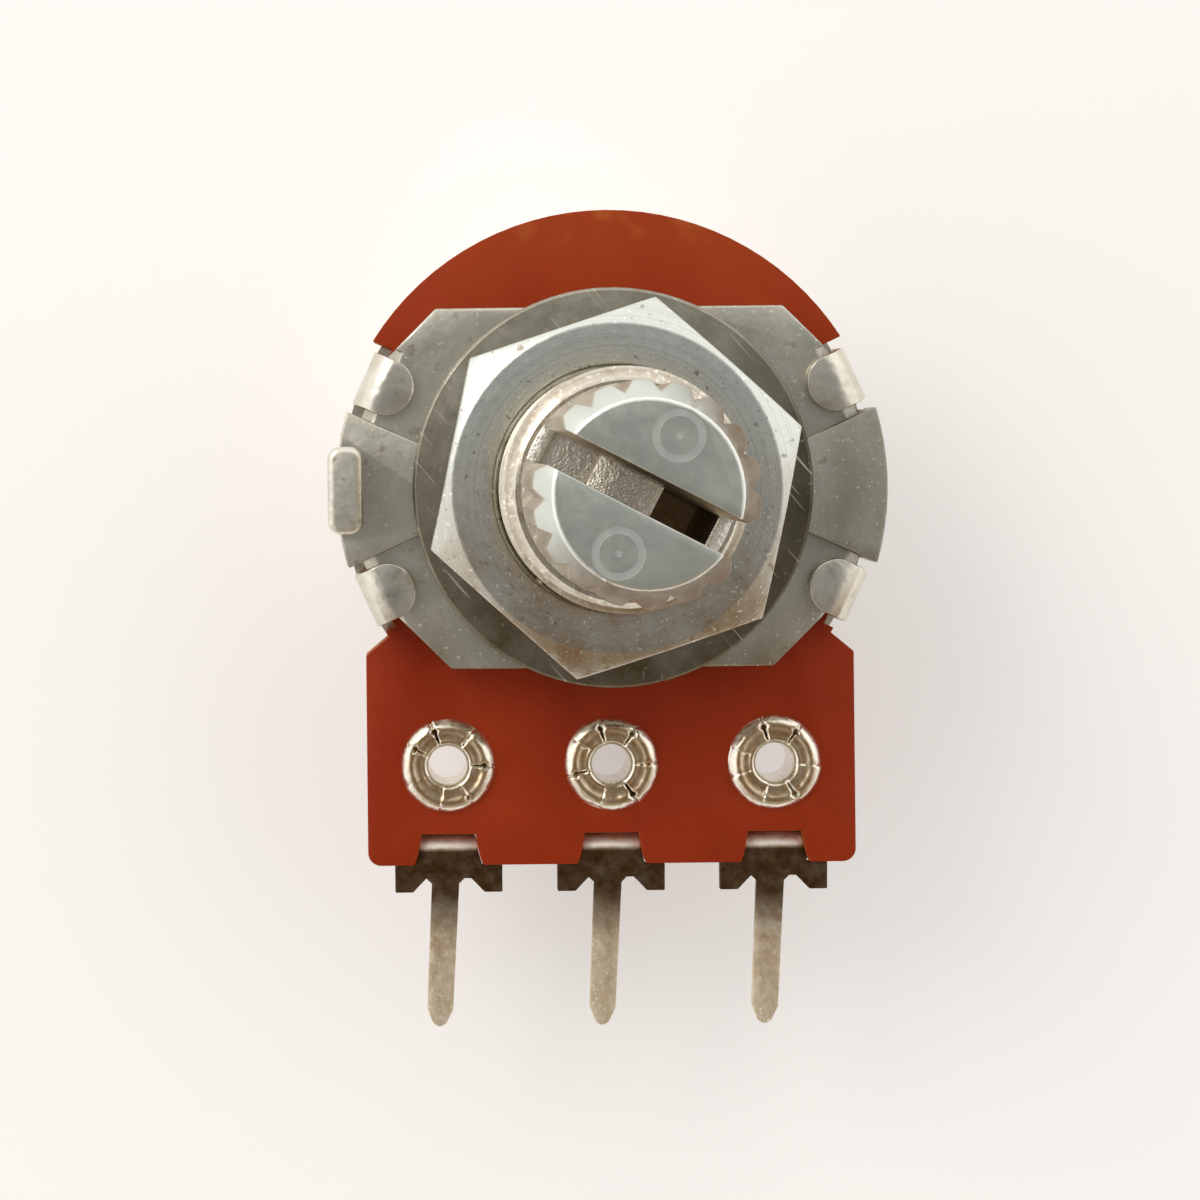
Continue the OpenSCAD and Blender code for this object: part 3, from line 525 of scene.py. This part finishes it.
def bushing(finish):
    """The threaded bushing: rows that climb with the helix, then the face and the bore."""
    count = 120
    steps = (0, 0.07, 0.125, 0.2, 0.3, 0.4375, 0.5, 0.5625, 0.7, 0.8, 0.875, 0.93)  # of one pitch
    turns = math.ceil(BUSHING_TOP / THREAD_PITCH) + 2
    starts = [(k - 1 + s) * THREAD_PITCH for k in range(turns) for s in steps]
    shape = bmesh.new()
    columns = []
    for i in range(count):
        angle = TURN * i / count
        heights = [min(max(z + THREAD_PITCH * i / count, 0), BUSHING_TOP) for z in starts]
        columns.append([point_at(shape, thread_radius(angle, z), angle, z) for z in heights])
    for i in range(count):
        shift = len(steps) if i == count - 1 else 0
        near, far = columns[i], columns[(i + 1) % count]
        for j in range(len(starts) - 1 - shift):
            shape.faces.new((near[j], far[j + shift], far[j + 1 + shift], near[j + 1]))
    flattened = 0.0005
    join_close(shape, flattened)
    bmesh.ops.dissolve_degenerate(shape, dist=flattened * MM, edges=shape.edges)
    rings = [ring_of(shape, radius, height, count) for radius, height in (
        (BORE_R + BORE_EDGE, BUSHING_TOP), (BORE_R, BUSHING_TOP - BORE_EDGE), (BORE_R, PLATE_BACK))]
    bridge(shape, rings[0], rings[1])
    bridge(shape, rings[1], rings[2])
    open_edges = [e for e in shape.edges if len(e.link_faces) == 1]
    top = [e for e in open_edges if all(v.co.z > (BUSHING_TOP - 0.01) * MM for v in e.verts)]
    bmesh.ops.bridge_loops(shape, edges=top)
    bmesh.ops.bridge_loops(shape, edges=[e for e in open_edges if e not in top])
    return make_object("threaded_bushing", shape, finish)


# ---------- eyelets and terminals ----------
def eyelet(side, x, finish, split_finish, seed):
    """A hollow rivet: barrel, throat, and a rim that split into petals as it was rolled over."""
    dice = random.Random(seed)
    petals = 7
    count = petals * 24
    throat_r = 0.6
    roll_r = 1.15  # the top of the rolled rim, where a split gapes most
    split_half = 0.035
    split_gape = 0.09
    split_depth = 0.14
    split_pull = 0.08
    splits = [TURN * (k + dice.uniform(-0.2, 0.2)) / petals for k in range(petals)]
    deep = [dice.choice((0.15, 0.4, 1.0)) for _ in range(petals)]
    lift = [dice.uniform(-0.04, 0.02) for _ in range(petals)]
    tilt = [dice.uniform(-0.03, 0.03) for _ in range(petals)]
    flare = [dice.uniform(-0.06, 0.03) for _ in range(petals)]
    head = 0.25
    barrel_back = EYELET_BACK - BOARD_FACE - head
    profile = [  # radius, height over the board, how far a split opens it
        (0.57, barrel_back, 0), (0.57, -0.4, 0), (0.58, -0.05, 0), (0.6, 0.07, 0), (0.64, 0.15, 0.1),
        (0.69, 0.205, 0.3), (0.74, 0.225, 0.5), (0.79, 0.215, 0.7), (0.85, 0.2, 0.9),
        (0.92, 0.2, 1), (0.99, 0.215, 1), (1.05, 0.24, 1), (1.1, 0.26, 1), (1.15, 0.265, 1),
        (1.2, 0.25, 1), (1.25, 0.225, 1), (1.3, 0.19, 1), (1.35, 0.145, 1), (1.4, 0.09, 0.9),
        (1.44, 0.03, 0.7), (1.45, -0.01, 0.6)]
    shape = bmesh.new()
    rings = []
    torn = set()
    for r, z, part in profile:
        ring = []
        for i in range(count):
            angle = TURN * i / count
            gaps = [((angle - s + math.pi) % TURN) - math.pi for s in splits]
            nearest = min(range(petals), key=lambda n: abs(gaps[n]))
            petal = nearest if gaps[nearest] >= 0 else (nearest - 1) % petals
            wide = split_half + split_gape * math.exp(-((r - roll_r) / 0.07) ** 2)
            crack = math.exp(-(gaps[nearest] * r / wide) ** 2) * deep[nearest]
            across = gaps[petal] / (TURN / petals) - 0.5
            height = z + part * (lift[petal] + tilt[petal] * across * 2 - split_depth * crack)
            reach = r + part * (flare[petal] * (r - throat_r) - split_pull * crack * (r - 0.7))
            height = max(height, -0.01) if z > -0.05 else z
            point = point_at(shape, reach, angle, BOARD_FACE + height, x, EYELET_Y)
            if crack > 0.3 and 0.7 < r < 1.3:
                torn.add(point)
            ring.append(point)
        rings.append(ring)
    barrel_r = 0.95
    head_r = 1.35
    edge = 0.06
    for r, z in ((barrel_r, BOARD_FACE - 0.02), (barrel_r, EYELET_BACK), (head_r - edge, EYELET_BACK),
                 (head_r, EYELET_BACK - edge), (head_r, EYELET_BACK - head + edge),
                 (head_r - edge - 0.02, EYELET_BACK - head)):
        rings.append(ring_of(shape, r, z, count, x, EYELET_Y))
    for low, high in zip(rings, rings[1:]):
        bridge(shape, low, high)
    bridge(shape, rings[-1], rings[0])
    for face in shape.faces:
        face.material_index = int(all(point in torn for point in face.verts))
    piece = make_object("rolled_eyelet_" + side, shape, finish, smooth_angle=50)
    piece.data.materials.append(split_finish)
    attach(piece, "housing")
    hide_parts("eyelet_" + side)


def terminal(side, x, finish):
    """A terminal, its neck grown to sit snug between the sides of the board's notch."""
    shape = copy_of("terminal_" + side)
    for point in shape.verts:
        from_middle = point.co.x - x * MM
        in_notch = NOTCH_MOUTH_Y * MM < point.co.y < NOTCH_TOP_Y * MM
        if in_notch and NECK_HALF * MM < abs(from_middle) < (NECK_HALF + NECK_SIDE) * MM:
            point.co.x += math.copysign(NECK_GROWTH * MM, from_middle)
    shortest = 0.03
    round_edges(shape, width=0.04, sharp=30, keep=lambda e: e.calc_length() < shortest * MM)
    piece = make_object("tinned_terminal_" + side, shape, finish)
    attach(piece, "housing")
    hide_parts("terminal_" + side)


# ---------- shaft and spring ----------
def shallow_on_shaft(edge):
    """True for an edge by one of the two sunk marks, or of the small step behind the serrations."""
    ends = [v.co for v in edge.verts]
    middle = (ends[0] + ends[1]) / 2
    across_slot = Vector((-math.sin(SLOT_ANGLE), math.cos(SLOT_ANGLE))) * MARK_FROM_AXIS * MM
    from_mark = min((middle.xy - centre).length for centre in (across_slot, -across_slot))
    by_mark = middle.z > (SHAFT_TIP - 0.1) * MM and from_mark < MARK_REACH * MM
    return by_mark or all(abs(end.z - SERRATION_Z * MM) < 0.05 * MM for end in ends)


def detent_leaf(finish):
    """The detent spring, on a mesh of its own. The rotor presses the real leaf flatter when its notch
    turns away from it.
    """
    piece = make_object("detent_leaf", copy_of("detent_spring"), finish)
    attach(piece, "housing")
    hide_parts("detent_spring")
    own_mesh(piece)


# ---------- the pieces ----------
for part in (housing_plate(die_cast_zinc()), bushing(cut_thread())):
    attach(part, "housing")
    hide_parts("front_housing")

brass = tinned_brass()
eyelet_tin = eyelet_tin_brown_on_top()
torn_brass_and_shade = split_brass_and_shade()
first_seed = 11
for number, side in enumerate(("left", "middle", "right")):
    across = (number - 1) * PIN_PITCH
    eyelet(side, across, eyelet_tin, torn_brass_and_shade, seed=first_seed + number)
    terminal(side, across, brass)

dress("board", phenolic_paper(), 0.04, "housing")
dress("rear_cover", tinned_sheet(), 0.05, "housing", sharp=40, keep=below_board)
dress("washer", plated_washer(), 0.03, "housing")
dress("nut", plated_nut(), 0.045, "housing", sharp=28)
dress("shaft", tumbled_zinc(), 0.05, "shaft_assembly", sharp=32, keep=shallow_on_shaft)

silver = printed_silver()
spring_steel = rolled_strip("rolled_spring_steel", "#a7a196", "#c6c1b5")
detent_leaf(spring_steel)
CAD_FINISHES = {
    "retaining_ring": spring_steel,
    "resistive_track": printed_carbon(),
    "collector_ring": silver,
    "lead_left": silver,
    "lead_right": silver,
    "rotor": moulded_rotor(),
    "wiper": rolled_strip("rolled_phosphor_bronze", "#b98d4f", "#d6ae6c"),
}
for node, finish in CAD_FINISHES.items():
    nodes[node].data.materials[0] = finish


# ---------- floor, light and camera ----------
def floor():
    """A plain pale floor, a hair under the back of the cover, that looks a little brighter than lit."""
    hair = 0.01
    bpy.ops.mesh.primitive_plane_add(size=600 * MM, location=(0, 0, cad_box[0].z - hair * MM))
    plane = bpy.context.object
    plane.name = "floor"
    material, tree, shader, _ = start_material("floor_paper", {
        "Base Color": linear("#faf7f2"), "Roughness": 0.9, "Emission Color": linear("#eff3ff")})
    ray = add(tree, "LightPath").outputs
    seen = add(tree, "Math", links={0: ray["Is Camera Ray"], 1: ray["Is Glossy Ray"]},
               operation="MAXIMUM").outputs[0]
    glow = add(tree, "MapRange", {"To Max": 0.24}, {"Value": seen}).outputs[0]
    tree.links.new(glow, shader.inputs["Emission Strength"])
    plane.data.materials.append(material)


def room():
    """Soft room light: a darker ceiling over bright walls, and a dim brown wall on the pins' side."""
    world = bpy.data.worlds.new("room")
    bpy.context.scene.world = world
    world.use_nodes = True
    tree = world.node_tree
    background = tree.nodes["Background"]
    where = add(tree, "TexCoord").outputs["Generated"]
    height = add(tree, "SeparateXYZ", links={0: where}).outputs[Z]
    strength = add(tree, "MapRange", {"From Min": 0.6, "From Max": 0.97, "To Min": 1.2, "To Max": 0.34},
                   {"Value": height}, interpolation_type="SMOOTHSTEP").outputs[0]
    towards_pins = add(tree, "VectorMath", {1: (0.2, -1, 0)}, {0: where}, operation="DOT_PRODUCT")
    near_wall = add(tree, "MapRange", {"From Min": 0.05, "From Max": 0.8},
                    {"Value": towards_pins.outputs["Value"]}).outputs[0]
    above_table = add(tree, "MapRange", {"From Min": 0.03, "From Max": 0.2}, {"Value": height}).outputs[0]
    wall = add(tree, "Mix", {MIX_A: linear("#fffdfa"), MIX_B: linear("#93826c")},
               {0: times(tree, near_wall, above_table)}, data_type="RGBA")
    tree.links.new(wall.outputs[2], background.inputs["Color"])
    tree.links.new(strength, background.inputs["Strength"])


def lamp(name, place, size, power):
    """A square soft lamp aimed at the part, its power in watts."""
    data = bpy.data.lights.new(name, "AREA")
    data.size = size * MM
    data.energy = power
    data.color = linear("#fff8ee")[:3]
    light = bpy.data.objects.new(name, data)
    light.location = Vector(place) * MM
    light.rotation_euler = (-light.location).to_track_quat("-Z", "Y").to_euler()
    bpy.context.scene.collection.objects.link(light)


def camera():
    """A camera straight above, a hand's width away, with the view shifted to frame the part."""
    data = bpy.data.cameras.new("camera")
    data.lens = 101.1
    data.sensor_width = 36
    data.shift_x = 0.166
    data.shift_y = -0.127
    data.clip_start = 0.005
    data.clip_end = 5
    view = bpy.data.objects.new("camera", data)
    view.location = (-6.34 * MM, 1.26 * MM, 101.3 * MM)
    view.rotation_euler = (0, 0, math.radians(-0.6))
    bpy.context.scene.collection.objects.link(view)
    bpy.context.scene.camera = view


floor()
room()
lamp("window", (-170, 150, 190), 150, 0.18)
camera()
bpy.context.scene.view_settings.view_transform = "Standard"
